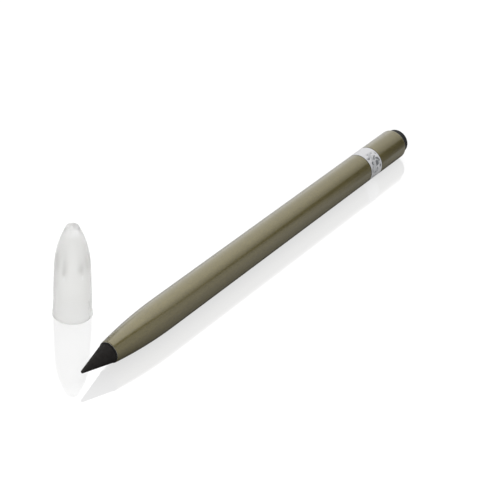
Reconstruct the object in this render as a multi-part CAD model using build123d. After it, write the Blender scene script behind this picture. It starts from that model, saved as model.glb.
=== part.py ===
from build123d import *
import math
import os

# Inkless pencil lying on its side, with its cap standing open end down beside the nib.
# All lengths are in millimetres. Places along the pencil are measured from the nib's tip.

# Clearances, and the overrun of every cut
glue_gap = 0.02
running_gap = 0.05
seat_gap = 0.05
overrun = 1.0

# Barrel: a drawn tube whose nose is turned to a long gentle taper
barrel_diameter = 9.2
barrel_length = 117.3
barrel_wall = 0.5
nose_radius = 3.08
nose_taper_length = 22.1
nose_chamfer = 0.14
edge_break = 0.06

# Nib: a graphite alloy cone on a threaded stud
nib_length = 10.15
nib_base_radius = 2.78
nib_tip_radius = 0.43
nib_edge_bevel = 0.06
stud_thread_radius = 1.5
stud_thread_length = 7.65
stud_thread_depth = 0.3
stud_neck_length = 1.1
stud_shank_radius = 1.0
stud_shank_length = 4.0
stud_end_gap = 0.2
stud_lead_in = 0.35

# Washer: the dark rim between the nib and the barrel's nose
washer_thickness = 0.4
washer_step = 0.04
washer_inset = 0.08
washer_edge_round = 0.08

# Nose bush: a threaded brass liner glued into the nose
bush_wall = 0.65
bush_length = 9.0
bush_setback = 0.25
bush_countersink = 0.3
bush_groove_width = 0.7
bush_groove_depth = 0.18
bush_groove_shares = (0.35, 0.65)

# Band and tail: a printed ring and a short tube, carried on one inner sleeve
band_width = 6.0
tail_length = 13.55
tail_edge_round = 0.35
sleeve_wall = 1.1
sleeve_reach = 8.5
sleeve_lead_in = 0.5

# Eraser, and the cup that grips it
cup_wall = 0.45
cup_floor = 0.8
cup_depth = 7.0
cup_setback = 0.3
eraser_inset = 0.4
eraser_height = 3.45
eraser_crown_height = 0.5
eraser_shoulder_round = 1.0
eraser_plug_length = 6.5
eraser_plug_lead_in = 0.4

# Cap: a thin frosted moulding with a bead at its mouth, ribs inside and a thick flat end
cap_height = 27.6
cap_mouth_gap = 0.06
cap_mouth_depth = 4.0
cap_skirt_wall = 0.54
cap_skirt_taper = 0.33
cap_shoulder_height = 14.6
cap_shoulder_wall = 0.5
cap_bead_height = 0.9
cap_bead_stand = 0.16
cap_bead_bevel = 0.25
cap_end_radius = 1.35
cap_end_round = 0.5
cap_end_thickness = 2.8
cap_dish_radius = 0.95
cap_dish_depth = 0.35
core_end_radius = 1.5
core_end_round = 0.6
ledge_drop = 1.4
ledge_step = 0.12
rib_count = 6
rib_width = 0.9
rib_height = 5.8
rib_foot_slope = 1.2
rib_nose_gap = 0.17
rib_first_angle = -107.5
slit_width = 0.3
slit_height = 5.8
slit_angle = -82.5
cap_beside_nib = 22.1
cap_behind_tip = 22.5

# Radii and the ledge's height that follow from the sizes above
barrel_radius = barrel_diameter / 2
barrel_bore_radius = barrel_radius - barrel_wall
thread_bore_radius = stud_thread_radius + running_gap
bush_radius = thread_bore_radius + bush_wall
insert_radius = barrel_bore_radius - glue_gap
eraser_head_radius = barrel_radius - tail_edge_round - eraser_inset
cap_mouth_radius = barrel_radius + cap_mouth_gap
cap_skirt_radius = cap_mouth_radius + cap_skirt_wall
cap_bead_radius = cap_skirt_radius + cap_bead_stand
cap_shoulder_radius = cap_skirt_radius - cap_skirt_taper
core_shoulder_radius = cap_shoulder_radius - cap_shoulder_wall
ledge_height = cap_shoulder_height - ledge_drop

# Stations along the pencil
washer_front = nib_length + seat_gap
washer_back = washer_front + washer_thickness
nose_edge = washer_back + seat_gap
taper_end = nose_edge + nose_taper_length
barrel_end = nose_edge + barrel_length
band_end = barrel_end + band_width
tail_end = band_end + tail_length
cup_mouth = tail_end - cup_setback
cup_bottom = cup_mouth - cup_depth
cup_end = cup_bottom - cup_floor
eraser_seat = tail_end + seat_gap
pencil_length = eraser_seat + eraser_height

# Places in the frame of the whole: length and width are centred, and the floor is at zero height
pencil_x = -pencil_length / 2
pencil_y = -(cap_beside_nib + cap_bead_radius - barrel_radius) / 2
cap_x = pencil_x + cap_behind_tip
cap_y = pencil_y + cap_beside_nib


def turned(outline):
    """Turn a closed half outline, drawn as station and radius, about the pencil's axis."""
    return Pos(pencil_x, pencil_y, barrel_radius) * revolve(make_face(outline), Axis.X)


def barrel():
    """Tube with a long curved nose; its bore narrows to the seat of the nose bush."""
    seat_radius = bush_radius + glue_gap
    seat_end = nose_edge + bush_setback + bush_length
    nose_face = (nose_edge, nose_radius - nose_chamfer)
    nose_rim = (nose_edge + nose_chamfer, nose_radius)
    taper_back = (taper_end, barrel_radius)
    outline = Line(nose_face, nose_rim)
    outline += TangentArc(taper_back, nose_rim, tangent=(-1, 0))
    outline += Polyline(
        taper_back,
        (barrel_end - edge_break, barrel_radius),
        (barrel_end, barrel_radius - edge_break),
        (barrel_end, barrel_bore_radius),
        (taper_end, barrel_bore_radius),
        (seat_end, seat_radius),
        (nose_edge, seat_radius),
        nose_face,
    )
    return turned(outline)


def nose_bush():
    """Brass liner with glue grooves outside and a countersunk thread, drawn at its crest."""
    start = nose_edge + bush_setback
    end = start + bush_length
    outline = Polyline(
        (start, thread_bore_radius + bush_countersink),
        (start, bush_radius),
        (end, bush_radius),
        (end, thread_bore_radius),
        (start + bush_countersink, thread_bore_radius),
        (start, thread_bore_radius + bush_countersink),
    )
    liner = turned(outline)
    groove_floor = bush_radius - bush_groove_depth
    for share in bush_groove_shares:
        groove_start = start + share * bush_length - bush_groove_width / 2
        groove_end = groove_start + bush_groove_width
        groove = Polyline(
            (groove_start, bush_radius + overrun),
            (groove_end, bush_radius + overrun),
            (groove_end, groove_floor),
            (groove_start, groove_floor),
            (groove_start, bush_radius + overrun),
        )
        liner -= turned(groove)
    return liner


def nib_washer():
    """Dark ring that carries the cone's line over to the barrel's nose."""
    front_radius = nib_base_radius + washer_step
    face_rim = (washer_front, front_radius - washer_edge_round)
    side_start = (washer_front + washer_edge_round, front_radius)
    outline = TangentArc(face_rim, side_start, tangent=(0, 1))
    outline += Polyline(
        side_start,
        (washer_back, nose_radius - washer_inset),
        (washer_back, thread_bore_radius),
        (washer_front, thread_bore_radius),
        face_rim,
    )
    return turned(outline)


def nib():
    """Cone that ends in a tiny ball, with a bevelled base and a blind socket for the stud."""
    cone_end = nib_length - nib_edge_bevel
    reach = cone_end - nib_tip_radius
    to_base = math.atan2(nib_base_radius, reach)
    touch = to_base + math.acos(nib_tip_radius / math.hypot(nib_base_radius, reach))
    ball_end = (nib_tip_radius + nib_tip_radius * math.cos(touch), nib_tip_radius * math.sin(touch))
    socket_radius = stud_shank_radius + glue_gap
    socket_end = nib_length - stud_shank_length - stud_end_gap
    outline = TangentArc((0, 0), ball_end, tangent=(0, 1))
    outline += Polyline(
        ball_end,
        (cone_end, nib_base_radius),
        (nib_length, nib_base_radius - nib_edge_bevel),
        (nib_length, socket_radius),
        (socket_end, socket_radius),
        (socket_end, 0),
        (0, 0),
    )
    return turned(outline)


def nib_stud():
    """Stud: a plain shank glued in the nib, a relief neck, and a thread drawn at its crest."""
    shank_end = nib_length - stud_shank_length
    neck_radius = stud_thread_radius - stud_thread_depth
    neck_end = nib_length + stud_neck_length
    thread_end = nib_length + stud_thread_length
    outline = Polyline(
        (shank_end, 0),
        (shank_end, stud_shank_radius),
        (nib_length, stud_shank_radius),
        (nib_length, neck_radius),
        (neck_end, neck_radius),
        (neck_end, stud_thread_radius),
        (thread_end - stud_lead_in, stud_thread_radius),
        (thread_end, stud_thread_radius - stud_lead_in),
        (thread_end, 0),
        (shank_end, 0),
    )
    return turned(outline)


def joiner_sleeve():
    """Inner sleeve that joins the barrel to the tail, carries the band and stops the cup."""
    bore_radius = insert_radius - sleeve_wall
    start = barrel_end - sleeve_reach
    end = cup_end - seat_gap
    outline = Polyline(
        (start, bore_radius),
        (start, insert_radius - sleeve_lead_in),
        (start + sleeve_lead_in, insert_radius),
        (end - sleeve_lead_in, insert_radius),
        (end, insert_radius - sleeve_lead_in),
        (end, bore_radius),
        (start, bore_radius),
    )
    return turned(outline)


def band():
    """Printed ring, flush with the barrel and the tail, with its outer edges broken."""
    outline = Polyline(
        (barrel_end, barrel_bore_radius),
        (barrel_end, barrel_radius - edge_break),
        (barrel_end + edge_break, barrel_radius),
        (band_end - edge_break, barrel_radius),
        (band_end, barrel_radius - edge_break),
        (band_end, barrel_bore_radius),
        (barrel_end, barrel_bore_radius),
    )
    return turned(outline)


def tail_tube():
    """Short tube behind the band, with a rounded rear edge."""
    side_end = (tail_end - tail_edge_round, barrel_radius)
    rim = (tail_end, barrel_radius - tail_edge_round)
    outline = TangentArc(side_end, rim, tangent=(1, 0))
    outline += Polyline(
        rim,
        (tail_end, barrel_bore_radius),
        (band_end, barrel_bore_radius),
        (band_end, barrel_radius - edge_break),
        (band_end + edge_break, barrel_radius),
        side_end,
    )
    return turned(outline)


def eraser_cup():
    """Closed cup, glued in the tail, that grips the eraser's plug."""
    bore_radius = insert_radius - cup_wall
    outline = Polyline(
        (cup_end, 0),
        (cup_end, insert_radius),
        (cup_mouth, insert_radius),
        (cup_mouth, bore_radius),
        (cup_bottom, bore_radius),
        (cup_bottom, 0),
        (cup_end, 0),
    )
    return turned(outline)


def eraser():
    """Rubber plug with a low crowned head that sits on the tail's rim."""
    plug_radius = insert_radius - cup_wall - running_gap
    plug_end = eraser_seat - eraser_plug_length
    crown_edge = pencil_length - eraser_crown_height
    side_end = (crown_edge - eraser_shoulder_round, eraser_head_radius)
    crown_start = (crown_edge, eraser_head_radius - eraser_shoulder_round)
    outline = TangentArc(side_end, crown_start, tangent=(1, 0))
    outline += TangentArc((pencil_length, 0), crown_start, tangent=(0, 1))
    outline += Polyline(
        (pencil_length, 0),
        (plug_end, 0),
        (plug_end, plug_radius - eraser_plug_lead_in),
        (plug_end + eraser_plug_lead_in, plug_radius),
        (eraser_seat, plug_radius),
        (eraser_seat, eraser_head_radius),
        side_end,
    )
    return turned(outline)


def turned_upright(outline):
    """Turn a closed half outline, drawn as radius and height, about the cap's axis."""
    return revolve(Plane.XZ * make_face(outline), Axis.Z)


def bullet_side(shoulder_radius, draft, end_radius, end_round, top):
    """Curved side that runs on from a drafted wall, and the round edge of a flat end."""
    side_end = (end_radius + end_round, top - end_round)
    side = TangentArc(
        (shoulder_radius, cap_shoulder_height),
        side_end,
        tangent=(-math.sin(draft), math.cos(draft)),
    )
    return side + TangentArc((end_radius, top), side_end, tangent=(1, 0))


def cap_outside():
    """The cap as a solid bullet: mouth bead, drafted skirt, curved shoulder and dished end."""
    draft = math.atan2(cap_skirt_taper, cap_shoulder_height - cap_bead_height)
    outline = Polyline(
        (cap_end_radius, cap_height),
        (cap_dish_radius, cap_height),
        (0, cap_height - cap_dish_depth),
        (0, 0),
        (cap_bead_radius, 0),
        (cap_bead_radius, cap_bead_height - cap_bead_bevel),
        (cap_skirt_radius, cap_bead_height),
        (cap_shoulder_radius, cap_shoulder_height),
    )
    outline += bullet_side(cap_shoulder_radius, draft, cap_end_radius, cap_end_round, cap_height)
    return turned_upright(outline)


def cap_core():
    """The hollow: a straight mouth, a drafted bore with a small ledge, and a flat inner end."""
    ledge_radius = (cap_mouth_radius + core_shoulder_radius) / 2
    above_ledge = ledge_radius - ledge_step
    draft = math.atan2(above_ledge - core_shoulder_radius, cap_shoulder_height - ledge_height)
    top = cap_height - cap_end_thickness
    outline = Polyline(
        (core_end_radius, top),
        (0, top),
        (0, -overrun),
        (cap_mouth_radius, -overrun),
        (cap_mouth_radius, cap_mouth_depth),
        (ledge_radius, ledge_height),
        (above_ledge, ledge_height),
        (core_shoulder_radius, cap_shoulder_height),
    )
    outline += bullet_side(core_shoulder_radius, draft, core_end_radius, core_end_round, top)
    return turned_upright(outline)


def cap_ribs():
    """Guide ribs on the inner wall, each with a sloping foot, that centre the nose in the cap."""
    crest_radius = nose_radius + rib_nose_gap
    head = ledge_height + rib_height
    side = Polyline(
        (cap_shoulder_radius, ledge_height),
        (crest_radius, ledge_height + rib_foot_slope),
        (crest_radius, head),
        (cap_shoulder_radius, head),
        (cap_shoulder_radius, ledge_height),
    )
    rib = extrude(Plane.XZ * make_face(side), amount=rib_width / 2, both=True)
    return Compound([Rot(0, 0, rib_first_angle + turn * 360 / rib_count) * rib for turn in range(rib_count)])


def mouth_slit():
    """Cutter for the short slit that lets the mouth give as the cap is pushed on."""
    start = cap_mouth_radius / 2
    length = cap_bead_radius + overrun - start
    corner = (Align.MIN, Align.CENTER, Align.MIN)
    cutter = Pos(start, 0, -overrun) * Box(length, slit_width, slit_height + overrun, align=corner)
    return Rot(0, 0, slit_angle) * cutter


def cap():
    """Frosted cap: one hollow moulding with its ribs and its slit mouth."""
    outside = cap_outside()
    shell = outside - cap_core() + (outside & cap_ribs())
    return Pos(cap_x, cap_y, 0) * (shell - mouth_slit())


pieces = {
    "barrel": barrel,
    "nose_bush": nose_bush,
    "nib_washer": nib_washer,
    "nib": nib,
    "nib_stud": nib_stud,
    "joiner_sleeve": joiner_sleeve,
    "band": band,
    "tail_tube": tail_tube,
    "eraser_cup": eraser_cup,
    "eraser": eraser,
    "cap": cap,
}

os.makedirs("parts", exist_ok=True)
for name, make in pieces.items():
    export_step(make(), f"parts/{name}.step")
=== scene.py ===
import math

import bmesh
import bpy
from mathutils import Matrix, Vector


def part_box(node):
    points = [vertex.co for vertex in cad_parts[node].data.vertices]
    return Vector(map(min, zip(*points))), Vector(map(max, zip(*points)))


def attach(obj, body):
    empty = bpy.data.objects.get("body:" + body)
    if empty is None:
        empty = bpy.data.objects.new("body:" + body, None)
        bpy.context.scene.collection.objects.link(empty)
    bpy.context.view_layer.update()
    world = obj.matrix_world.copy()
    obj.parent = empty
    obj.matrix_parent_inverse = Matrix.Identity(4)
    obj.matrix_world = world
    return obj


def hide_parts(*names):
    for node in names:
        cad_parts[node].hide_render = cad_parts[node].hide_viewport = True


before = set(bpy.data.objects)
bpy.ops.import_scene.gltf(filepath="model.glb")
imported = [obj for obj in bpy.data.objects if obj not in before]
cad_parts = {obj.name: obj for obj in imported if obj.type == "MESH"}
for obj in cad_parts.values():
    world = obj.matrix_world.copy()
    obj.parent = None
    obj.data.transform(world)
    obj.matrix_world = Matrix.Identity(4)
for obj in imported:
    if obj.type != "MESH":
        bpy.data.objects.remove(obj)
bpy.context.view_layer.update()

# The view
# The pencil is seen from beyond its nib, from about 34 degrees above the table and half a metre away,
# through a long lens that is turned a little about its own axis.

camera_place = Vector((-0.33997, -0.23413, 0.27634))
camera_aim = Vector((0.00423, -0.00261, 0.0))
camera_roll = math.radians(3.663)
photo_width = 478
half_pixel = 0.5 / photo_width
focal_pixels = 1753.5
sensor_width = 36.0
nearest_seen = 0.01


def placed(name, data):
    """A new object in the scene."""
    thing = bpy.data.objects.new(name, data)
    bpy.context.scene.collection.objects.link(thing)
    return thing


camera_data = bpy.data.cameras.new("camera")
camera = placed("camera", camera_data)
camera_data.sensor_width = sensor_width
camera_data.lens = sensor_width * focal_pixels / photo_width
camera_data.shift_x = -half_pixel
camera_data.shift_y = half_pixel
camera_data.clip_start = nearest_seen
ahead = (camera_aim - camera_place).normalized()
level = ahead.cross(Vector((0, 0, 1))).normalized()
across = level * math.cos(camera_roll) + level.cross(ahead) * math.sin(camera_roll)
turn = Matrix((across, across.cross(ahead), -ahead)).transposed()
camera.matrix_world = Matrix.Translation(camera_place) @ turn.to_4x4()
bpy.context.scene.camera = camera
bpy.context.scene.view_settings.view_transform = "Standard"

# The table
# A sheet of white gloss acrylic. It keeps a soft shadow and mirrors what stands on it. The camera and
# clear plastic see it as white as the room behind it. Gloss sees it greyer, as if a card lay in front,
# with a painted shadow in a dark band under the pencil's near side, and painted shade that darkens
# its front part towards the tail.

table_size = 8.0
table_height = -0.00002
table_albedo = 0.72
table_glow_share = 0.8
table_mirror = 0.14
# As gloss sees the table: grey, with a painted shadow under the pencil's near side that fades out in
# front of it.
table_in_gloss_painted_shadow = (
    (-0.40, (0.66, 0.66, 0.66)),
    (-0.30, (0.62, 0.62, 0.65)),
    (-0.05, (0.62, 0.62, 0.65)),
    (-0.032, (0.57, 0.575, 0.60)),
    (-0.0252, (0.50, 0.505, 0.53)),
    (-0.0219, (0.44, 0.44, 0.44)),
    (-0.0198, (0.38, 0.375, 0.35)),
    (-0.0173, (0.35, 0.345, 0.31)),
    (-0.0157, (0.16, 0.155, 0.14)),
    (-0.0125, (0.13, 0.13, 0.12)),
    (-0.0110, (0.62, 0.62, 0.62)),
)
# Where the painted shade in front of the pencil starts, and how it grows towards the tail.
table_front_start, table_front_end = -0.035, -0.025
table_painted_shade_start, table_painted_shade_end = 0.005, 0.055
table_painted_shade_share = 0.8
white, black = (1, 1, 1, 1), (0, 0, 0, 1)


def put(tree, kind, inputs=None, **settings):
    """Add a node with its settings; an input takes a value, or another node's socket as a link."""
    node = tree.nodes.new("ShaderNode" + kind)
    for name, value in settings.items():
        setattr(node, name, value)
    for key, value in (inputs or {}).items():
        if isinstance(value, bpy.types.NodeSocket):
            tree.links.new(value, node.inputs[key])
        else:
            node.inputs[key].default_value = value
    return node


def reckoned(tree, operation, *values):
    """What a Math node makes of those values and sockets."""
    return put(tree, "Math", dict(enumerate(values)), operation=operation).outputs[0]


def product(tree, first, second):
    """Two values or sockets multiplied."""
    return reckoned(tree, "MULTIPLY", first, second)


def coordinates(tree):
    """The surface's three coordinates in the object's own space, one by one."""
    return put(tree, "SeparateXYZ", {0: put(tree, "TexCoord").outputs["Object"]}).outputs


def sent_by(tree, *senders):
    """1 for a ray from a sender that is named (Singular is a perfect mirror), 0 for any other."""
    rays = put(tree, "LightPath").outputs
    share = rays[f"Is {senders[0]} Ray"]
    for sender in senders[1:]:
        share = reckoned(tree, "MAXIMUM", share, rays[f"Is {sender} Ray"])
    return share


def eased(tree, value, low, high, start=0.0, end=1.0):
    """The value mapped smoothly from low and high to start and end."""
    span = {"Value": value, "From Min": low, "From Max": high, "To Min": start, "To Max": end}
    return put(tree, "MapRange", span, interpolation_type="SMOOTHSTEP").outputs[0]


def blended(tree, share, first, second):
    """Two colours mixed by a share."""
    return put(tree, "Mix", {0: share, 6: first, 7: second}, data_type="RGBA").outputs[2]


def mixed(tree, share, first, second):
    """A node that mixes the shaders of two nodes by a share."""
    return put(tree, "MixShader", {0: share, 1: first.outputs[0], 2: second.outputs[0]})


def ramped(tree, value, steps):
    """A colour that follows the value; each step gives a value and its colour, in order."""
    low, high = steps[0][0], steps[-1][0]
    span = {"Value": value, "From Min": low, "From Max": high}
    ramp = put(tree, "ValToRGB", {0: put(tree, "MapRange", span).outputs[0]})
    elements = ramp.color_ramp.elements
    elements.remove(elements[1])
    for number, (place, colour) in enumerate(steps):
        element = elements.new((place - low) / (high - low)) if number else elements[0]
        element.color = (*colour, 1)
    return ramp.outputs[0]


def bare_material(name):
    """A new material, its node tree and the input that takes its surface."""
    material = bpy.data.materials.new(name)
    material.use_nodes = True
    tree = material.node_tree
    tree.nodes.clear()
    return material, tree, put(tree, "OutputMaterial").inputs["Surface"]


def laid_flat(name, corners, material):
    """A stage piece of one face, from its corners in order."""
    mesh = bpy.data.meshes.new(name)
    mesh.from_pydata(corners, [], [range(len(corners))])
    mesh.materials.append(material)
    sheet = placed(name, mesh)
    return sheet


table_white, tree, surface_in = bare_material("table_white")
matt = put(tree, "BsdfDiffuse", {"Color": (table_albedo, table_albedo, table_albedo, 1)})
glow = put(tree, "Emission", {"Color": white, "Strength": 1.0})
mirror = put(tree, "BsdfGlossy", {"Color": white, "Roughness": 0.0})
polished = mixed(tree, table_mirror, mixed(tree, table_glow_share, matt, glow), mirror)
where = coordinates(tree)
rightward = reckoned(tree, "ADD", where[0], where[1])
# Painted shade: in front of the pencil, gloss sees the table grow darker towards the tail.
in_front = eased(tree, where[1], table_front_start, table_front_end, 1.0, 0.0)
darker = eased(tree, rightward, table_painted_shade_start, table_painted_shade_end, 0.0, table_painted_shade_share)
painted_shade_in_front = product(tree, in_front, darker)
grey = blended(tree, painted_shade_in_front, ramped(tree, where[1], table_in_gloss_painted_shadow), black)
greyed_with_painted_shade = put(tree, "BsdfDiffuse", {"Color": grey})
unseen = mixed(tree, sent_by(tree, "Glossy"), matt, greyed_with_painted_shade)
shown = mixed(tree, sent_by(tree, "Camera", "Transmission"), unseen, polished)
tree.links.new(shown.outputs[0], surface_in)
edge = table_size / 2
table_corners = [(-edge, -edge), (edge, -edge), (edge, edge), (-edge, edge)]
laid_flat("table", [(x, y, table_height) for x, y in table_corners], table_white)

# The light
# The room and a lamp overhead light the table evenly. Gloss sees a long soft box that leans down to the
# far side, with its near corner cut off behind a black frame, and a black flag under its front edge.
# The table's own mirror looks through frame and flag.

room_fill = 0.85
lamp_radiance = 1.2
lamp_width, lamp_depth = 1.3, 1.6
lamp_place = (0.75, 0.2, 0.6)
lamp_watts_per_radiance = 4  # for each square metre of an area lamp
softbox_near_x, softbox_far_x = 0.1, 1.4
softbox_front_y, softbox_back_y = -0.6, 2.4
softbox_front_height, softbox_back_height = 0.58, 0.0
softbox_cut_x, softbox_cut_y = 0.66, -0.11
softbox_left_edge = (
    (0.75, softbox_back_y),
    (0.75, 1.2),
    (0.63, 0.8),
    (0.5, 0.66),
    (0.34, 0.56),
    (softbox_near_x, 0.5),
)
frame_start_width, frame_end_width = 0.04, 0.16
softbox_radiance = 4.6
softbox_shares = (
    (-0.6, 0.24),
    (-0.2, 0.35),
    (0.0, 0.395),
    (0.155, 0.393),
    (0.33, 0.405),
    (0.5, 0.445),
    (0.6, 0.47),
    (0.9, 0.53),
    (1.5, 0.73),
    (2.4, 0.96),
)
softbox_fall_start, softbox_fall_end = 0.45, 0.75
softbox_fall_rate = 1.4
gloss_gain = 0.08
felt_colour = (0.01, 0.01, 0.01, 1)
flag_corners = (
    (0.62, 0.50),
    (0.62, 0.56),
    (0.70, 0.57),
    (0.95, 0.62),
    (1.60, 0.67),
    (1.60, 0.00),
    (0.69, 0.00),
    (0.665, 0.20),
    (0.65, 0.33),
    (0.63, 0.42),
)


def hide_from(thing, *rays):
    """Hide a thing of the stage from rays of those kinds."""
    for ray in rays:
        setattr(thing, "visible_" + ray, False)


def under_softbox(corners):
    """Corners in plan, put up at the height at which the soft box leans there."""
    slope = (softbox_back_height - softbox_front_height) / (softbox_back_y - softbox_front_y)
    return [(x, y, softbox_front_height + (y - softbox_front_y) * slope) for x, y in corners]


world = bpy.data.worlds.new("room")
bpy.context.scene.world = world
world.use_nodes = True
tree = world.node_tree
tree.nodes.clear()
whiteness = reckoned(tree, "MULTIPLY_ADD", sent_by(tree, "Glossy"), gloss_gain, 1.0)
backdrop = put(tree, "Background", {"Color": white, "Strength": whiteness})
fill = put(tree, "Background", {"Color": white, "Strength": room_fill})
room = mixed(tree, sent_by(tree, "Camera", "Glossy", "Transmission"), fill, backdrop)
tree.links.new(room.outputs[0], put(tree, "OutputWorld").inputs["Surface"])

lamp_data = bpy.data.lights.new("lamp", "AREA")
lamp_data.shape = "RECTANGLE"
lamp_data.size, lamp_data.size_y = lamp_width, lamp_depth
lamp_data.energy = lamp_watts_per_radiance * lamp_radiance * lamp_width * lamp_depth
lamp = placed("lamp", lamp_data)
lamp.location = lamp_place
hide_from(lamp, "glossy", "transmission")

softbox_white, tree, surface_in = bare_material("softbox_white")
where = coordinates(tree)
silk_greys = [(y, (share, share, share)) for y, share in softbox_shares]
out_there = reckoned(tree, "MINIMUM", where[0], softbox_fall_end)
past_start = reckoned(tree, "SUBTRACT", out_there, softbox_fall_start)
fall = reckoned(tree, "POWER", math.exp(-softbox_fall_rate), past_start)
strength = product(tree, fall, softbox_radiance)
silk = put(tree, "Emission", {"Color": ramped(tree, where[1], silk_greys), "Strength": strength})
tree.links.new(silk.outputs[0], surface_in)
cut_start, cut_end = (softbox_cut_x, softbox_front_y), (softbox_near_x, softbox_cut_y)
softbox_plan = [cut_start, (softbox_far_x, softbox_front_y), (softbox_far_x, softbox_back_y)]
softbox_plan += [*softbox_left_edge, cut_end]
softbox = laid_flat("softbox", under_softbox(softbox_plan), softbox_white)

flag_black, tree, surface_in = bare_material("flag_black")
felt = put(tree, "BsdfDiffuse", {"Color": felt_colour})
clear = put(tree, "BsdfTransparent")
tree.links.new(mixed(tree, sent_by(tree, "Singular"), felt, clear).outputs[0], surface_in)
flag = laid_flat("flag", [(x, softbox_front_y, z) for x, z in flag_corners], flag_black)
cut = Vector(cut_start) - Vector(cut_end)
beyond = Vector((cut.y, -cut.x)).normalized()
frame_plan = [cut_end, cut_start, Vector(cut_start) + beyond * frame_start_width]
frame_plan += [Vector(cut_end) + beyond * frame_end_width]
softbox_frame = laid_flat("softbox_frame", under_softbox(frame_plan), flag_black)
for sheet in (softbox, flag, softbox_frame):
    hide_from(sheet, "camera", "diffuse", "transmission", "shadow")

# Barrel
# A drawn aluminium tube whose nose is turned to a long gentle taper. It is sprayed with an olive
# metallic lacquer under a satin clear coat, which stops at the cut edge of the nose.

mm = 0.001
tiny = 1e-7  # metres; a point this near to the axis lies on it
barrel_low, barrel_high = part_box("barrel")
axis_y = (barrel_low.y + barrel_high.y) / 2
axis_z = (barrel_low.z + barrel_high.z) / 2
barrel_radius = (barrel_high.z - barrel_low.z) / 2
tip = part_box("nib")[0].x
tube_wall = 0.5 * mm
tube_bore = barrel_radius - tube_wall
tube_edge = 0.02 * mm
tube_sides = 192
nose_radius = 3.08 * mm
nose_taper = 22.1 * mm
nose_lip = 0.14 * mm
nose_steps = 48
painted_lip_share = 0.2
bush_seat = 2.22 * mm
bush_seat_depth = 9.25 * mm
seam_break = 0.06 * mm
lacquer_colour = (0.105, 0.088, 0.032, 1)
lacquer_roughness = (0.40, 0.46)
lacquer_dust_share = 0.1
lacquer_dust_colour = (0.40, 0.39, 0.36, 1)
flake_shares = (0.80, 1.22)
flake_size = 0.09 * mm
flake_glint = 0.12
peel_size = 0.9 * mm
peel_depth = 0.2 * mm
bare_aluminium_colour = (0.80, 0.79, 0.77, 1)
bare_aluminium_roughness = (0.24, 0.34)
bare_aluminium_dull_share = 0.86
cut_depth = 0.02 * mm


def arc_to(start, direction, end, steps):
    """Points of the arc that leaves start in that direction and arrives at end, without start."""
    start, end = Vector(start), Vector(end)
    ahead = Vector(direction).normalized()
    side = Vector((-ahead.y, ahead.x))
    chord = end - start
    if chord.dot(side) < 0:
        side = -side
    radius = chord.length_squared / (2 * chord.dot(side))
    centre = start + side * radius
    sweep = 2 * math.atan2(chord.dot(side), chord.dot(ahead))
    points = []
    for step in range(1, steps + 1):
        angle = sweep * step / steps
        points.append(tuple(centre - side * radius * math.cos(angle) + ahead * radius * math.sin(angle)))
    return points


def softened(corners, reach, steps=3, least_turn=math.radians(25), most_share=0.45):
    """A closed outline with its sharp corners eased over that reach; corners on the axis stay."""
    points = []
    for before, corner, after in zip(corners[-1:] + corners[:-1], corners, corners[1:] + corners[:1]):
        here = Vector(corner)
        back, on = Vector(before) - here, Vector(after) - here
        if here.y < tiny or math.pi - back.angle(on) < least_turn:
            points.append(corner)
            continue
        leave = here + back.normalized() * min(reach, back.length * most_share)
        arrive = here + on.normalized() * min(reach, on.length * most_share)
        for step in range(steps + 1):
            share = step / steps
            points.append(tuple(leave.lerp(here, share).lerp(here.lerp(arrive, share), share)))
    return points


def joined(bm, first, second):
    """Faces between two rings of points; a ring of one point is a pole on the axis."""
    if len(first) == 1 and len(second) == 1:
        return []
    sides = max(len(first), len(second))
    faces = []
    for here in range(sides):
        after = (here + 1) % sides
        corners = [first[here % len(first)], first[after % len(first)]]
        corners += [second[after % len(second)], second[here % len(second)]]
        faces.append(bm.faces.new(list(dict.fromkeys(corners))))
    return faces


def finished(name, bm, body, node, slot, *materials, sharp_from=math.radians(50)):
    """Turn the mesh into a piece that rides on its body and stands for its node."""
    bmesh.ops.recalc_face_normals(bm, faces=bm.faces)
    mesh = bpy.data.meshes.new(name)
    bm.to_mesh(mesh)
    bm.free()
    for material in materials:
        mesh.materials.append(material)
    mesh.shade_smooth()
    mesh.set_sharp_from_angle(angle=sharp_from)
    piece = placed(name, mesh)
    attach(piece, body)
    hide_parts(node)


def guarded(outline, guard=0.05 * mm, least_turn=math.radians(8)):
    """Add a ring close to each corner of a long stretch, so that its smooth shading stays even."""
    points = []
    for here, corner in enumerate(outline):
        after = outline[(here + 1) % len(outline)]
        stretch = Vector(after) - Vector(corner)
        points.append(corner)
        if stretch.length < 4 * guard or corner[1] + after[1] < tiny:
            continue
        came = Vector(corner) - Vector(outline[here - 1])
        goes = Vector(outline[(here + 2) % len(outline)]) - Vector(after)
        if came.angle(stretch) > least_turn:
            points.append(tuple(Vector(corner) + stretch.normalized() * guard))
        if stretch.angle(goes) > least_turn:
            points.append(tuple(Vector(after) - stretch.normalized() * guard))
    return points


def turned(outline, sides=144, shaped=None, bare=None):
    """A closed outline of places along the axis and radii, turned about the pencil's axis.
    shaped changes a radius by place and angle, and bare tells the places of the second material."""
    outline = guarded(outline)
    bm = bmesh.new()
    rings = []
    for along, radius in outline:
        if radius < tiny:
            rings.append([bm.verts.new((along, axis_y, axis_z))])
            continue
        ring = []
        for step in range(sides):
            angle = math.tau * step / sides
            reach = shaped(along, radius, angle) if shaped else radius
            spot = (along, axis_y + reach * math.cos(angle), axis_z + reach * math.sin(angle))
            ring.append(bm.verts.new(spot))
        rings.append(ring)
    next_places, next_rings = outline[1:] + outline[:1], rings[1:] + rings[:1]
    for place, next_place, ring, next_ring in zip(outline, next_places, rings, next_rings):
        for face in joined(bm, ring, next_ring):
            face.smooth = True
            if bare and bare(place) and bare(next_place):
                face.material_index = 1
    return bm


def scaled(colour, share):
    """The colour, darker or paler by that share."""
    return tuple(share * part for part in colour[:3]) + (1,)


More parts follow.
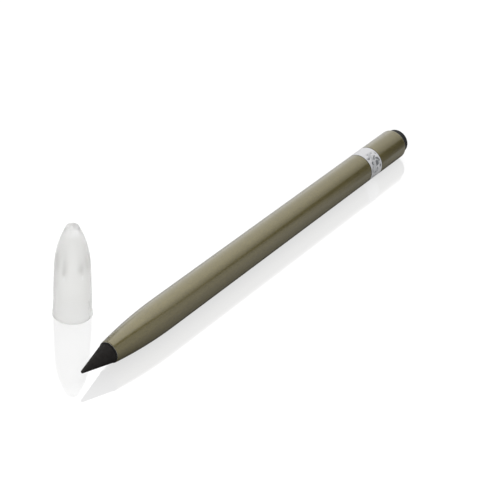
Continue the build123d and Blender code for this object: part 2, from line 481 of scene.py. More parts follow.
def patches(tree, surface, size, **inputs):
    """A noise over the surface with patches of about that size, a value or a socket."""
    scale = reckoned(tree, "DIVIDE", 1.0, size) if isinstance(size, bpy.types.NodeSocket) else 1 / size
    return put(tree, "TexNoise", {"Vector": surface, "Scale": scale, **inputs}).outputs[0]


def bumped(tree, height, strength, depth):
    """A normal that follows the height."""
    return put(tree, "Bump", {"Height": height, "Strength": strength, "Distance": depth}).outputs[0]


def between(tree, share, values):
    """The value at that share of the way between two values."""
    return eased(tree, share, 0.0, 1.0, *values)


def dressed(tree, surface_in, inputs):
    """Give a material its one Principled shader."""
    tree.links.new(put(tree, "BsdfPrincipled", inputs).outputs[0], surface_in)


def effect(name, inputs, outputs):
    """A group for an effect, with its named inputs and their usual values, and its outputs."""
    group = bpy.data.node_groups.new(name, "ShaderNodeTree")
    for label, value in inputs.items():
        socket = group.interface.new_socket(label, in_out="INPUT", socket_type="NodeSocketFloat")
        socket.default_value = value
    for label in outputs:
        group.interface.new_socket(label, in_out="OUTPUT", socket_type="NodeSocketFloat")
    return group, group.nodes.new("NodeGroupInput").outputs, group.nodes.new("NodeGroupOutput").inputs


def use(tree, group, **values):
    """Place an effect; underscores in a name stand for the spaces of an input's name."""
    inputs = {label.replace("_", " "): value for label, value in values.items()}
    return put(tree, "Group", inputs, node_tree=group).outputs


# The place on the pencil, as every turned finish uses it: along the axis from the nib's tip, and
# round the axis from the top, in metres and in turns.
pencil_place, _, given = effect("Pencil place", {}, ("Station", "Turn"))
where = coordinates(pencil_place)
station = reckoned(pencil_place, "SUBTRACT", where[0], tip)
sideways = reckoned(pencil_place, "SUBTRACT", where[1], axis_y)
upward = reckoned(pencil_place, "SUBTRACT", where[2], axis_z)
angle = reckoned(pencil_place, "ARCTAN2", sideways, upward)
pencil_place.links.new(station, given["Station"])
pencil_place.links.new(reckoned(pencil_place, "DIVIDE", angle, math.tau), given["Turn"])

# Handling: faint smudges and a little settled dust, broken up so that no two places look alike. More
# dust cover lowers the level from which a speck shows.
smudge_levels = (0.42, 0.68)
bare_dust_level, full_dust_level = 0.78, 0.82
handling, asked, given = effect(
    "Handling marks",
    {"Smudge size": 4 * mm, "Dust size": 0.12 * mm, "Dust cover": 0.04},
    ("Smudge", "Dust"),
)
surface = put(handling, "TexCoord").outputs["Object"]
smudges = patches(handling, surface, asked["Smudge size"], Detail=4.0, Roughness=0.6)
handling.links.new(eased(handling, smudges, *smudge_levels), given["Smudge"])
specks = patches(handling, surface, asked["Dust size"], Detail=1.0)
dust_level = reckoned(handling, "SUBTRACT", bare_dust_level, asked["Dust cover"])
handling.links.new(eased(handling, specks, dust_level, full_dust_level), given["Dust"])

olive_lacquer, tree, surface_in = bare_material("olive_lacquer")
surface = put(tree, "TexCoord").outputs["Object"]
marks = use(tree, handling)
flakes = put(tree, "TexVoronoi", {"Vector": surface, "Scale": 1 / flake_size})
flake = put(tree, "SeparateColor", {0: flakes.outputs["Color"]}).outputs
peel = patches(tree, surface, peel_size, Detail=1.0)
flaked = blended(tree, flake[0], *(scaled(lacquer_colour, share) for share in flake_shares))
dusting = product(tree, marks["Dust"], lacquer_dust_share)
base_rough = between(tree, marks["Smudge"], lacquer_roughness)
glint = reckoned(tree, "MULTIPLY_ADD", flake[1], flake_glint, -flake_glint / 2)
dressed(tree, surface_in, {
    "Base Color": blended(tree, dusting, flaked, lacquer_dust_colour),
    "Metallic": 0.75,
    "Roughness": reckoned(tree, "ADD", base_rough, glint),
    "Specular IOR Level": 0.2,
    "Normal": bumped(tree, peel, strength=0.02, depth=peel_depth),
    "Coat Weight": 1.0,
    "Coat Roughness": 0.17,
    "Coat IOR": 1.5,
})

# Turning marks: the fine rings that a lathe tool leaves, as a height and a tone.
turning_levels = (0.3, 0.7)
turning, asked, given = effect("Turning marks", {"Pitch": 0.05 * mm}, ("Height", "Tone"))
along = use(turning, pencil_place)["Station"]
rings = reckoned(turning, "DIVIDE", along, asked["Pitch"])
ringed = put(turning, "TexNoise", {"W": rings, "Scale": 1.0, "Detail": 3.0}, noise_dimensions="1D")
turning.links.new(ringed.outputs[0], given["Height"])
turning.links.new(eased(turning, ringed.outputs[0], *turning_levels), given["Tone"])

bare_aluminium, tree, surface_in = bare_material("bare_aluminium")
cut = use(tree, turning, Pitch=0.03 * mm)
dull = scaled(bare_aluminium_colour, bare_aluminium_dull_share)
dressed(tree, surface_in, {
    "Base Color": blended(tree, cut["Tone"], dull, bare_aluminium_colour),
    "Metallic": 1.0,
    "Roughness": between(tree, cut["Tone"], bare_aluminium_roughness),
    "Normal": bumped(tree, cut["Height"], strength=0.2, depth=cut_depth),
})

nose = barrel_low.x
taper_back = nose + nose_taper
barrel_back = barrel_high.x
seat_back = nose + bush_seat_depth
outside = arc_to((taper_back, barrel_radius), (-1, 0), (nose + nose_lip, nose_radius), nose_steps)
barrel_outline = [(barrel_back - seam_break, barrel_radius), (taper_back, barrel_radius)] + outside
barrel_outline += softened(
    [
        (nose, nose_radius - nose_lip),
        (nose, bush_seat),
        (seat_back, bush_seat),
        (taper_back, tube_bore),
        (barrel_back, tube_bore),
        (barrel_back, barrel_radius - seam_break),
    ],
    tube_edge,
)


def unpainted(point):
    """The lip of the nose, the bore and the cut end are bare metal."""
    along, radius = point
    if along > taper_back:
        return radius < barrel_radius - 2 * seam_break
    return radius < nose_radius - painted_lip_share * nose_lip


barrel_mesh = turned(barrel_outline, sides=tube_sides, bare=unpainted)
finished("barrel_shell", barrel_mesh, "barrel", "barrel", "olive_lacquer", olive_lacquer, bare_aluminium)

# Nose bush
# A turned brass liner, glued into the nose with two grooves for the glue. Its bore has the
# right-handed thread that takes the nib's stud, with a small countersink at the mouth.


def lengthways(node):
    """Where a turned node starts and ends along the axis, and its radius."""
    low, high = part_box(node)
    return low.x, high.x, (high.z - low.z) / 2


bush_front, bush_back, bush_radius = lengthways("nose_bush")
bush_countersink = 0.3 * mm
bush_edge = 0.06 * mm
thread_pitch = 0.5 * mm
thread_crest = 1.5 * mm
thread_depth = 0.28 * mm
thread_gap = 0.05 * mm
thread_steps = 10
thread_groove_share, thread_flank_share = 0.85, 0.7
bore = thread_crest + thread_gap
groove_width = 0.7 * mm
groove_depth = 0.18 * mm
groove_shares = (0.35, 0.65)
inner_sides = 96
brass_colour = (0.80, 0.58, 0.26, 1)
brass_dull_colour = (0.72, 0.51, 0.22, 1)
brass_roughness = (0.22, 0.36)
tarnished_brass = (0.52, 0.36, 0.16, 1)
tarnish_share = 0.35

brass, tree, surface_in = bare_material("turned_brass")
cut = use(tree, turning, Pitch=0.04 * mm)
marks = use(tree, handling, Smudge_size=2 * mm)
bright = blended(tree, cut["Tone"], brass_dull_colour, brass_colour)
tarnish = product(tree, marks["Smudge"], tarnish_share)
dressed(tree, surface_in, {
    "Base Color": blended(tree, tarnish, bright, tarnished_brass),
    "Metallic": 1.0,
    "Roughness": between(tree, marks["Smudge"], brass_roughness),
    "Normal": bumped(tree, cut["Height"], strength=0.25, depth=cut_depth),
})


def thread_cut(along, angle):
    """How deep a right-handed thread is cut there, from 0 on its crest to 1 at its root."""
    phase = ((along - tip) / thread_pitch - angle / math.tau) % 1.0
    return min(1.0, max(0.0, (thread_groove_share - abs(2 * phase - 1)) / thread_flank_share))


def thread_places(start, end):
    """Even places from start to end, close enough together for the thread."""
    count = math.ceil(abs(end - start) / thread_pitch * thread_steps)
    return [start + (end - start) * step / count for step in range(count + 1)]


def bush_thread(along, radius, angle):
    """The bore follows the stud's thread at its running gap and fades out at both mouths."""
    if radius > bore + thread_gap / 2:
        return radius
    from_mouth = (along - bush_front - bush_countersink) / thread_pitch
    from_end = (bush_back - along) / thread_pitch
    fade = max(0.0, min(1.0, from_mouth, from_end))
    return radius - thread_depth * thread_cut(along, angle) * fade


bush_outline = [(bush_front, bore + bush_countersink), (bush_front, bush_radius)]
for share in groove_shares:
    middle = bush_front + share * (bush_back - bush_front)
    start, end = middle - groove_width / 2, middle + groove_width / 2
    bush_outline += [(start, bush_radius), (start, bush_radius - groove_depth)]
    bush_outline += [(end, bush_radius - groove_depth), (end, bush_radius)]
bush_outline += [(bush_back, bush_radius), (bush_back, bore + thread_gap)]
bush_outline = softened(bush_outline, bush_edge)
for along in thread_places(bush_back - thread_gap, bush_front + bush_countersink):
    bush_outline.append((along, bore))
bush_mesh = turned(bush_outline, sides=inner_sides, shaped=bush_thread)
finished("nose_bush_threaded", bush_mesh, "barrel", "nose_bush", "turned_brass", brass)

# Nib washer
# A thin moulded black ring between the nib and the nose. It is clamped when the nib is screwed home,
# carries on the cone's line and flares to a dark rim before the olive edge.

washer_front, washer_back, washer_back_radius = lengthways("nib_washer")
washer_front_radius = 2.82 * mm
washer_edge = 0.08 * mm
black_rubber_colour = (0.010, 0.0096, 0.0092, 1)
black_rubber_flow_colour = (0.015, 0.0145, 0.014, 1)
black_rubber_roughness = (0.48, 0.6)
rubber_dust_share = 0.2
rubber_dust_colour = (0.25, 0.25, 0.24, 1)
pebble_depth = 0.03 * mm

# Moulded skin: the fine pebble of a matt mould, with a faint flow pattern through it.
flow_levels = (0.35, 0.65)
moulded, asked, given = effect(
    "Moulded skin", {"Pebble size": 0.08 * mm, "Flow size": 3 * mm}, ("Height", "Flow")
)
surface = put(moulded, "TexCoord").outputs["Object"]
moulded.links.new(patches(moulded, surface, asked["Pebble size"], Detail=2.0), given["Height"])
flow = patches(moulded, surface, asked["Flow size"], Detail=3.0, Distortion=0.6)
moulded.links.new(eased(moulded, flow, *flow_levels), given["Flow"])

black_rubber, tree, surface_in = bare_material("black_rubber")
skin = use(tree, moulded)
marks = use(tree, handling, Dust_cover=0.05)
flowed = blended(tree, skin["Flow"], black_rubber_colour, black_rubber_flow_colour)
dusting = product(tree, marks["Dust"], rubber_dust_share)
dressed(tree, surface_in, {
    "Base Color": blended(tree, dusting, flowed, rubber_dust_colour),
    "Roughness": between(tree, marks["Smudge"], black_rubber_roughness),
    "Specular IOR Level": 0.1,
    "Normal": bumped(tree, skin["Height"], strength=0.25, depth=pebble_depth),
})

washer_outline = [(washer_front, bore), (washer_front, washer_front_radius)]
washer_outline += [(washer_back, washer_back_radius), (washer_back, bore)]
washer_mesh = turned(softened(washer_outline, washer_edge, steps=5))
finished("nib_washer_ring", washer_mesh, "nib_washer", "nib_washer", "washer_rubber", black_rubber)

# Nib
# A pressed and turned cone of graphite alloy with a tiny round point. Writing has rubbed the point
# brighter, and the lathe has left fine rings on the cone.

nib_front, nib_back, nib_radius = lengthways("nib")
nib_ball = 0.43 * mm
nib_bevel = 0.06 * mm
nib_edge = 0.04 * mm
cone_rings = 24
socket_radius = 1.02 * mm
socket_depth = 4.2 * mm
graphite_colour = (0.0095, 0.0082, 0.0074, 1)
graphite_roughness = (0.55, 0.40)
rubbed_graphite = (0.022, 0.0205, 0.0195, 1)
wear_start, wear_end, wear_share = 0.2 * mm, 1.6 * mm, 0.8
streak_share = 0.3

graphite, tree, surface_in = bare_material("graphite_alloy")
cut = use(tree, turning, Pitch=0.09 * mm)
skin = use(tree, moulded, Pebble_size=0.05 * mm, Flow_size=1.2 * mm)
along = use(tree, pencil_place)["Station"]
worn = eased(tree, along, wear_start, wear_end, wear_share, 0.0)
streaky = product(tree, skin["Flow"], streak_share)
rubbed = reckoned(tree, "MAXIMUM", worn, streaky)
both = reckoned(tree, "ADD", cut["Height"], skin["Height"])
dressed(tree, surface_in, {
    "Base Color": blended(tree, rubbed, graphite_colour, rubbed_graphite),
    "Metallic": 0.25,
    "Specular IOR Level": 0.12,
    "Roughness": between(tree, rubbed, graphite_roughness),
    "Normal": bumped(tree, both, strength=0.35, depth=pebble_depth),
})

cone_back = nib_back - nib_bevel
slope = math.atan2(nib_radius, cone_back - nib_front - nib_ball)
touch = slope + math.acos(nib_ball / math.hypot(nib_radius, cone_back - nib_front - nib_ball))
ball_end = (nib_front + nib_ball + nib_ball * math.cos(touch), nib_ball * math.sin(touch))
nib_outline = [(nib_front, 0.0)] + arc_to((nib_front, 0.0), (0, 1), ball_end, steps=10)
for ring in range(1, cone_rings):
    nib_outline.append(tuple(Vector(ball_end).lerp(Vector((cone_back, nib_radius)), ring / cone_rings)))
nib_outline += softened(
    [
        (cone_back, nib_radius),
        (nib_back, nib_radius - nib_bevel),
        (nib_back, socket_radius),
        (nib_back - socket_depth, socket_radius),
        (nib_back - socket_depth, 0.0),
    ],
    nib_edge,
)
finished("nib_cone", turned(nib_outline), "nib", "nib", "graphite_alloy", graphite)

# Nib stud
# A turned steel stud, glued by its plain shank into the nib. Behind a relief neck it carries the
# right-handed thread, rolled to a rounded crest and chamfered at the end.

stud_front, stud_back, _ = lengthways("nib_stud")
shank_radius = 1.0 * mm
shank_chamfer = 0.1 * mm
neck_length = 1.1 * mm
neck_relief = 0.02 * mm
thread_front = nib_back + neck_length
thread_lead_in = 0.35 * mm
steel_colour = (0.58, 0.575, 0.565, 1)
steel_dull_colour = (0.46, 0.455, 0.445, 1)
steel_roughness = (0.2, 0.34)

steel, tree, surface_in = bare_material("stud_steel")
cut = use(tree, turning, Pitch=0.03 * mm)
marks = use(tree, handling, Smudge_size=1 * mm)
dressed(tree, surface_in, {
    "Base Color": blended(tree, cut["Tone"], steel_dull_colour, steel_colour),
    "Metallic": 1.0,
    "Roughness": between(tree, marks["Smudge"], steel_roughness),
    "Normal": bumped(tree, cut["Height"], strength=0.25, depth=cut_depth),
})


def stud_thread(along, radius, angle):
    """The thread on the stud; it runs out into the neck and into the end's chamfer."""
    if along < thread_front or radius < thread_crest - tiny:
        return radius
    cut_radius = radius - thread_depth * thread_cut(along, angle)
    from_neck = (along - thread_front) / thread_lead_in
    from_end = (stud_back - along) / thread_lead_in
    run_out = thread_crest - thread_depth + thread_depth * from_neck
    return min(cut_radius, run_out, thread_crest - thread_lead_in * (1 - from_end))


neck_radius = thread_crest - thread_depth - neck_relief
stud_outline = [(stud_front, 0.0), (stud_front, shank_radius - shank_chamfer)]
stud_outline += [(stud_front + shank_chamfer, shank_radius), (nib_back, shank_radius)]
stud_outline += [(nib_back, neck_radius), (thread_front, neck_radius)]
stud_outline += [(along, thread_crest) for along in thread_places(thread_front, stud_back)]
stud_outline += [(stud_back, 0.0)]
stud_mesh = turned(stud_outline, sides=inner_sides, shaped=stud_thread)
finished("nib_stud_threaded", stud_mesh, "nib", "nib_stud", "stud_steel", steel)

# Joiner sleeve
# A moulded black sleeve, glued inside the barrel and the tail. It joins the two tubes, carries the
# band between them, and has three shallow glue grooves at each end.

sleeve_front, sleeve_back, sleeve_radius = lengthways("joiner_sleeve")
sleeve_bore = 2.98 * mm
sleeve_lead_in = 0.5 * mm
sleeve_edge = 0.08 * mm
sleeve_groove = 0.35 * mm
sleeve_groove_places = (1.6 * mm, 3.0 * mm, 4.4 * mm)
black_plastic_colours = ((0.020, 0.020, 0.021, 1), (0.030, 0.030, 0.031, 1))
black_plastic_roughness = (0.34, 0.46)

black_plastic, tree, surface_in = bare_material("black_plastic")
skin = use(tree, moulded, Pebble_size=0.12 * mm)
dressed(tree, surface_in, {
    "Base Color": blended(tree, skin["Flow"], *black_plastic_colours),
    "Roughness": between(tree, skin["Flow"], black_plastic_roughness),
    "Normal": bumped(tree, skin["Height"], strength=0.15, depth=pebble_depth),
})

sleeve_outline = [(sleeve_front, sleeve_bore), (sleeve_front, sleeve_radius - sleeve_lead_in)]
sleeve_outline += [(sleeve_front + sleeve_lead_in, sleeve_radius)]
grooves = [sleeve_front + place for place in sleeve_groove_places]
grooves += [sleeve_back - place for place in reversed(sleeve_groove_places)]
for middle in grooves:
    start, end = middle - sleeve_groove / 2, middle + sleeve_groove / 2
    floor = sleeve_radius - sleeve_groove / 2
    sleeve_outline += [(start, sleeve_radius), (middle, floor), (end, sleeve_radius)]
sleeve_outline += [(sleeve_back - sleeve_lead_in, sleeve_radius)]
sleeve_outline += [(sleeve_back, sleeve_radius - sleeve_lead_in), (sleeve_back, sleeve_bore)]
sleeve_mesh = turned(softened(sleeve_outline, sleeve_edge), sides=inner_sides)
finished("joiner_sleeve_moulded", sleeve_mesh, "barrel", "joiner_sleeve", "sleeve_plastic", black_plastic)

# Band
# A ring of silver anodised aluminium, flush between barrel and tail. A mottled grey print covers
# the side that lies towards the nib's right; it is a plain speckle and shows no words or mark.

band_front, band_back, _ = lengthways("band")
band_silver = (0.47, 0.47, 0.48, 1)
band_dull_silver = (0.43, 0.43, 0.44, 1)
band_metallic = (0.12, 0.0)
band_roughness = (0.45, 0.5)
print_pale = (0.33, 0.335, 0.345, 1)
print_dark = (0.11, 0.115, 0.12, 1)
print_turn = -0.17
print_half_width = 0.13
print_fade_turn = 0.02
print_margin = 0.5 * mm
print_fade = 0.2 * mm
print_blot = 1.5 * mm
print_fleck = print_blot / 1.3
pale_levels, dark_levels = (0.44, 0.54), (0.53, 0.62)
# A thin line of painted shade darkens each end of the band, where it meets barrel and tail.
seam_shade_colour = (0.03, 0.03, 0.027, 1)
seam_shade_width = 0.24 * mm

band_print, tree, surface_in = bare_material("band_print")
here = use(tree, pencil_place)
surface = put(tree, "TexCoord").outputs["Object"]
cut = use(tree, turning, Pitch=0.05 * mm)
off_middle = reckoned(tree, "ABSOLUTE", reckoned(tree, "SUBTRACT", here["Turn"], print_turn))
fade_start, fade_end = print_half_width - print_fade_turn, print_half_width + print_fade_turn
round_edge = eased(tree, off_middle, fade_start, fade_end, 1.0, 0.0)
middle = (band_front + band_back) / 2 - tip
half = (band_back - band_front) / 2 - print_margin
off_ring = reckoned(tree, "ABSOLUTE", reckoned(tree, "SUBTRACT", here["Station"], middle))
side_edge = eased(tree, off_ring, half - print_fade, half, 1.0, 0.0)
patch = product(tree, round_edge, side_edge)
blots = patches(tree, surface, print_blot, Detail=2.0)
flecks = patches(tree, surface, print_fleck, Detail=1.0)
pale_ink = product(tree, eased(tree, blots, *pale_levels), patch)
dark_ink = product(tree, eased(tree, flecks, *dark_levels), patch)
# Painted shade: the thin dark line at each end of the band, in its seams.
seam_shade_start = half + print_margin - seam_shade_width
painted_seam_shade = eased(tree, off_ring, seam_shade_start, seam_shade_start + seam_shade_width / 3)
silver = blended(tree, cut["Tone"], band_dull_silver, band_silver)
inked = blended(tree, dark_ink, blended(tree, pale_ink, silver, print_pale), print_dark)
ink = reckoned(tree, "MAXIMUM", pale_ink, dark_ink)
dressed(tree, surface_in, {
    "Base Color": blended(tree, painted_seam_shade, inked, seam_shade_colour),
    "Metallic": between(tree, ink, band_metallic),
    "Roughness": between(tree, ink, band_roughness),
    "Specular IOR Level": 0.25,
    "Normal": bumped(tree, cut["Height"], strength=0.12, depth=cut_depth),
})

band_outline = [
    (band_front, tube_bore),
    (band_front, barrel_radius - seam_break),
    (band_front + seam_break, barrel_radius),
    (band_back - seam_break, barrel_radius),
    (band_back, barrel_radius - seam_break),
    (band_back, tube_bore),
]
band_mesh = turned(softened(band_outline, tube_edge), sides=tube_sides)
finished("band_ring", band_mesh, "barrel", "band", "band_print", band_print)

# Tail tube
# The short tube behind the band, lacquered like the barrel. Its rear edge is rolled round and
# meets the rubber head.

tail_front, tail_back, _ = lengthways("tail_tube")
tail_round = 0.35 * mm
tail_painted_from = barrel_radius - 1.01 * tail_round

tail_outline = [(tail_front, tube_bore), (tail_front, barrel_radius - seam_break)]
tail_outline += [(tail_front + seam_break, barrel_radius)]
round_start, round_end = (tail_back - tail_round, barrel_radius), (tail_back, barrel_radius - tail_round)
tail_outline += [round_start] + arc_to(round_start, (1, 0), round_end, steps=8)
tail_outline += [(tail_back, tube_bore)]
tail_mesh = turned(tail_outline, sides=tube_sides, bare=lambda point: point[1] < tail_painted_from)
finished("tail_shell", tail_mesh, "barrel", "tail_tube", "olive_lacquer", olive_lacquer, bare_aluminium)

# Eraser cup
# A closed moulded cup, glued into the tail, that grips the eraser's plug. It is only seen when the
# eraser is pulled out.

cup_front, cup_back, cup_radius = lengthways("eraser_cup")
cup_wall = 0.45 * mm
cup_bore = cup_radius - cup_wall
cup_floor_thickness = 0.8 * mm
cup_floor = cup_front + cup_floor_thickness
cup_edge = 0.12 * mm

cup_outline = [(cup_front, 0.0), (cup_front, cup_radius), (cup_back, cup_radius), (cup_back, cup_bore)]
cup_outline += [(cup_floor, cup_bore), (cup_floor, 0.0)]
cup_mesh = turned(softened(cup_outline, cup_edge), sides=inner_sides)
finished("eraser_cup_moulded", cup_mesh, "barrel", "eraser_cup", "sleeve_plastic", black_plastic)

# Eraser
# A moulded black rubber plug. Its low crowned head sits on the tail's rim, and three soft rings
# round the plug let it grip the cup.

plug_front, crown, head_radius = lengthways("eraser")
head_gap = 0.05 * mm
head_front = tail_back + head_gap
head_edge = 0.08 * mm
head_shoulder = 1.0 * mm
crown_rise = 0.5 * mm
crown_edge = crown - crown_rise
plug_gap = 0.05 * mm
plug_radius = cup_bore - plug_gap
plug_lead_in = 0.4 * mm
plug_groove_depth = 0.15 * mm
plug_groove_shares = (0.3, 0.5, 0.7)
plug_groove_width = 0.6 * mm
plug_groove_steps = 8

shoulder_start = (crown_edge - head_shoulder, head_radius)
crown_start = (crown_edge, head_radius - head_shoulder)
eraser_outline = [(head_front, plug_radius), (head_front, head_radius - head_edge)]
eraser_outline += [(head_front + head_edge, head_radius), shoulder_start]
eraser_outline += arc_to(shoulder_start, (1, 0), crown_start, steps=14)
crown_arc = arc_to((crown, 0.0), (0, 1), crown_start, steps=14)
eraser_outline += crown_arc[-2::-1] + [(crown, 0.0), (plug_front, 0.0)]
eraser_outline += [(plug_front, plug_radius - plug_lead_in), (plug_front + plug_lead_in, plug_radius)]
for share in plug_groove_shares:
    middle = plug_front + share * (head_front - plug_front)
    for step in range(plug_groove_steps + 1):
        along = middle + plug_groove_width * (step / plug_groove_steps - 0.5)
        dip = plug_groove_depth * math.sin(math.pi * step / plug_groove_steps) ** 2
        eraser_outline.append((along, plug_radius - dip))
finished("eraser_plug", turned(eraser_outline), "eraser", "eraser", "eraser_rubber", black_rubber)

# Cap
# One thin moulding of frosted polypropylene, milky and slightly see-through. It has a bead round
# its slit mouth, a small ledge and six guide ribs inside, and a thick end with a shallow dish.

cap_low, cap_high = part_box("cap")
cap_x = (cap_low.x + cap_high.x) / 2
cap_y = (cap_low.y + cap_high.y) / 2
cap_top = cap_high.z
cap_sides = 288
bead_radius = (cap_high.y - cap_low.y) / 2
bead_height = 0.9 * mm
bead_bevel = 0.25 * mm
bead_foot = 0.12 * mm
rim_bevel = 0.08 * mm
skirt_radius = 5.2 * mm
shoulder_radius = 4.87 * mm
shoulder_height = 14.6 * mm
end_radius = 1.35 * mm
end_round = 0.5 * mm
dish_radius = 0.95 * mm
dish_depth = 0.35 * mm
dish_edge_width, dish_edge_depth = 0.1 * mm, 0.06 * mm
mouth_radius = 4.66 * mm
mouth_depth = 4.0 * mm
mouth_bevel = 0.05 * mm
core_shoulder_radius = shoulder_radius - 0.5 * mm
core_top = cap_top - 2.8 * mm
core_end_radius = 1.5 * mm
core_end_round = 0.6 * mm
ledge_height = shoulder_height - 1.4 * mm
ledge_step = 0.12 * mm
ledge_slope = 0.02 * mm
rib_count = 6
rib_crest = 3.25 * mm
rib_height = 5.8 * mm
rib_foot = 1.2 * mm
rib_head = 0.35 * mm
rib_root = 0.2 * mm
rib_half_angle = math.radians(7.0)
rib_flank_angle = math.radians(1.6)
rib_first_angle = math.radians(-107.5)
slit_angle = math.radians(-82.5)
slit_half_width = 0.15 * mm
slit_height = 5.8 * mm

# Painted shade and painted highlight at the ribs, as they show through the frosted wall: a soft dark
# streak along each rib and a paler spot at its foot. Widths are in rib pitches from a rib's middle,
# and heights are over the ledge.
streak_widths = (0.07, 0.13)
streak_start, streak_full = 1.5 * mm, 2.0 * mm
streak_fade = 2.5 * mm
streak_outside, streak_more_inside = 0.06, 0.08
gleam_widths = (0.03, 0.08)
gleam_start, gleam_full = 0.1 * mm, 0.5 * mm
gleam_fade, gleam_end = 1.4 * mm, 1.9 * mm

frost_colour = (0.918, 0.918, 0.91, 1)
frost_flow_colour = (0.908, 0.908, 0.898, 1)
frost_roughness = (0.38, 0.42)
# The milky colour is made a little darker towards the top of the cap.
top_darkening_start, top_darkening_full, top_darkening_share = 17 * mm, 26 * mm, 0.04
# Painted light: the colour turns nearly white where the wall is seen edge-on.
edge_light_colour = (1, 1, 0.99, 1)
edge_light_levels = (0.3, 0.8)

frosted, tree, surface_in = bare_material("frosted_cap")
skin = use(tree, moulded, Pebble_size=0.15 * mm, Flow_size=5 * mm)
marks = use(tree, handling, Dust_cover=0.03)
milky = blended(tree, skin["Flow"], frost_flow_colour, frost_colour)
where = coordinates(tree)
beside = reckoned(tree, "SUBTRACT", where[0], cap_x)
behind = reckoned(tree, "SUBTRACT", where[1], cap_y)
round_cap = reckoned(tree, "ARCTAN2", behind, beside)
past_rib = reckoned(tree, "SUBTRACT", round_cap, rib_first_angle)
off_rib = reckoned(tree, "PINGPONG", product(tree, past_rib, rib_count / math.tau), 0.5)
rib_top = ledge_height + rib_height
streak_low = eased(tree, where[2], ledge_height + streak_start, ledge_height + streak_full)
streak_high = eased(tree, where[2], rib_top - streak_fade, rib_top, 1.0, 0.0)
streak_height = product(tree, streak_low, streak_high)
streak = product(tree, eased(tree, off_rib, *streak_widths, 1.0, 0.0), streak_height)
within = put(tree, "NewGeometry").outputs["Backfacing"]
streak_shade = reckoned(tree, "MULTIPLY_ADD", within, streak_more_inside, streak_outside)
# The streak is painted shade, a little stronger on the inner face.
streak_painted_shade = product(tree, streak, streak_shade)
# Darker towards the top.
darker_to_top = eased(tree, where[2], top_darkening_start, top_darkening_full, 0.0, top_darkening_share)
deeper = blended(tree, reckoned(tree, "ADD", darker_to_top, streak_painted_shade), milky, black)
# Painted highlight: a paler spot at the foot of each rib.
gleam_low = eased(tree, where[2], ledge_height + gleam_start, ledge_height + gleam_full)
gleam_high = eased(tree, where[2], ledge_height + gleam_fade, ledge_height + gleam_end, 1.0, 0.0)
gleam_height = product(tree, gleam_low, gleam_high)
gleam = product(tree, gleam_height, eased(tree, off_rib, *gleam_widths, 1.0, 0.0))
gleaming = blended(tree, gleam, deeper, white)
# Painted light on the wall's edges, where it is seen edge-on.
painted_edge_light = eased(tree, put(tree, "LayerWeight").outputs["Facing"], *edge_light_levels)
dressed(tree, surface_in, {
    "Base Color": blended(tree, painted_edge_light, gleaming, edge_light_colour),
    "Roughness": between(tree, marks["Smudge"], frost_roughness),
    "IOR": 1.22,
    "Transmission Weight": 0.92,
    "Normal": bumped(tree, skin["Height"], strength=0.04, depth=pebble_depth),
})


def bullet(shoulder, wall_lean, end, rounding, top, steps):
    """The curved side above the shoulder and the round edge of the flat end, going up."""
    side_end = (end + rounding, top - rounding)
    climbing = (-math.sin(wall_lean), math.cos(wall_lean))
    side = arc_to((shoulder, shoulder_height), climbing, side_end, steps)
    edge_arc = arc_to((end, top), (1, 0), side_end, steps=6)
    return side + edge_arc[-2::-1] + [(end, top)]


def even(start, end, count):
    """Points of a straight stretch after start."""
    return [tuple(Vector(start).lerp(Vector(end), step / count)) for step in range(1, count + 1)]


def on_wall(low, high, height):
    """The point at that height of a straight wall between two points."""
    return low[0] - (low[0] - high[0]) * (height - low[1]) / (high[1] - low[1]), height


skirt_lean = math.atan2(skirt_radius - shoulder_radius, shoulder_height - bead_height)
under_ledge = (mouth_radius + core_shoulder_radius) / 2
above_ledge = under_ledge - ledge_step
core_lean = math.atan2(above_ledge - core_shoulder_radius, shoulder_height - ledge_height)
outer_slit = on_wall((skirt_radius, bead_height), (shoulder_radius, shoulder_height), slit_height)
inner_slit = on_wall((mouth_radius, mouth_depth), (under_ledge, ledge_height), slit_height)
above_bead = bead_height + bead_foot
bead_top = bead_height - bead_bevel
dish_start = (dish_radius - dish_edge_width, cap_top - dish_edge_depth)

outer_low = [(bead_radius - rim_bevel, 0.0), (bead_radius, rim_bevel), (bead_radius, bead_top)]
outer_low += [(skirt_radius, bead_height), (skirt_radius, above_bead), outer_slit]
outer_high = even(outer_slit, (shoulder_radius, shoulder_height), count=6)
outer_high += bullet(shoulder_radius, skirt_lean, end_radius, end_round, cap_top, steps=36)
outer_high += [(dish_radius + dish_edge_width, cap_top), dish_start]
outer_high += even(dish_start, (0.0, cap_top - dish_depth), count=3)
inner_low = [(mouth_radius + mouth_bevel, 0.0), (mouth_radius, rim_bevel), (mouth_radius, bead_top)]
inner_low += [(mouth_radius, above_bead), (mouth_radius, mouth_depth), inner_slit]
inner_high = even(inner_slit, (under_ledge, ledge_height - ledge_slope), count=6)
inner_high += [(above_ledge, ledge_height + ledge_slope)]
inner_high += even(inner_high[-1], (core_shoulder_radius, shoulder_height), count=8)
inner_high += bullet(core_shoulder_radius, core_lean, core_end_radius, core_end_round, core_top, steps=44)
inner_high += [(0.0, core_top)]


def rib_radius(height):
    """The crest of a rib: a sloping foot, a straight crest and a short run-out at its head."""
    climb = (height - ledge_height) / rib_foot
    fall = (ledge_height + rib_height - height) / rib_head
    share = max(0.0, min(1.0, climb, fall))
    return above_ledge + rib_root + (rib_crest - above_ledge - rib_root) * share


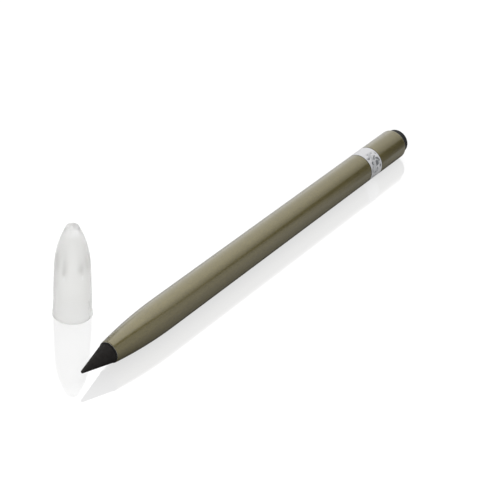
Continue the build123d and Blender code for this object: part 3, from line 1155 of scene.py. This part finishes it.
def inside_radius(radius, height, angle):
    """The inner wall with its ribs, which have slightly leaning flanks."""
    if not ledge_height < height < ledge_height + rib_height:
        return radius
    pitch = math.tau / rib_count
    off = abs((angle - rib_first_angle + pitch / 2) % pitch - pitch / 2)
    share = max(0.0, min(1.0, (rib_half_angle - off) / rib_flank_angle))
    return radius + (min(radius, rib_radius(height)) - radius) * share


slit_half_angle = slit_half_width / skirt_radius
angles = [math.tau * side / cap_sides for side in range(cap_sides)]
slit_edges = [slit_angle % math.tau - slit_half_angle, slit_angle % math.tau + slit_half_angle]
for edge in slit_edges:
    nearest = min(range(cap_sides), key=lambda side: abs(angles[side] - edge))
    angles[nearest] = edge
slit_sides = [side for side in range(cap_sides) if slit_edges[0] <= angles[side] < slit_edges[1]]

bm = bmesh.new()


def cap_ring(radius, height, inside):
    """One ring of the cap's wall, or its middle point on the axis."""
    if radius < tiny:
        return [bm.verts.new((cap_x, cap_y, height))]
    ring = []
    for angle in angles:
        reach = inside_radius(radius, height, angle) if inside else radius
        spot = (cap_x + reach * math.cos(angle), cap_y + reach * math.sin(angle), height)
        ring.append(bm.verts.new(spot))
    return ring


outer_rings = [cap_ring(radius, height, False) for radius, height in outer_low + outer_high]
inner_rings = [cap_ring(radius, height, True) for radius, height in inner_low + inner_high]
low_count = len(outer_low)
for rings in (outer_rings, inner_rings):
    for level, (below, above) in enumerate(zip(rings, rings[1:])):
        faces = joined(bm, below, above)
        if level < low_count - 1:
            bmesh.ops.delete(bm, geom=[faces[side] for side in slit_sides], context="FACES_ONLY")
rim = joined(bm, outer_rings[0], inner_rings[0])
bmesh.ops.delete(bm, geom=[rim[side] for side in slit_sides], context="FACES_ONLY")
for side in (slit_sides[0], slit_sides[-1] + 1):
    for level in range(low_count - 1):
        outer_pair = (outer_rings[level][side], outer_rings[level + 1][side])
        inner_pair = (inner_rings[level + 1][side], inner_rings[level][side])
        bm.faces.new(outer_pair + inner_pair)
for side in slit_sides:
    top_outer, top_inner = outer_rings[low_count - 1], inner_rings[low_count - 1]
    bm.faces.new((top_outer[side], top_outer[side + 1], top_inner[side + 1], top_inner[side]))
bmesh.ops.delete(bm, geom=[v for v in bm.verts if not v.link_faces], context="VERTS")
finished("cap_moulding", bm, "cap", "cap", "frosted_cap", frosted)
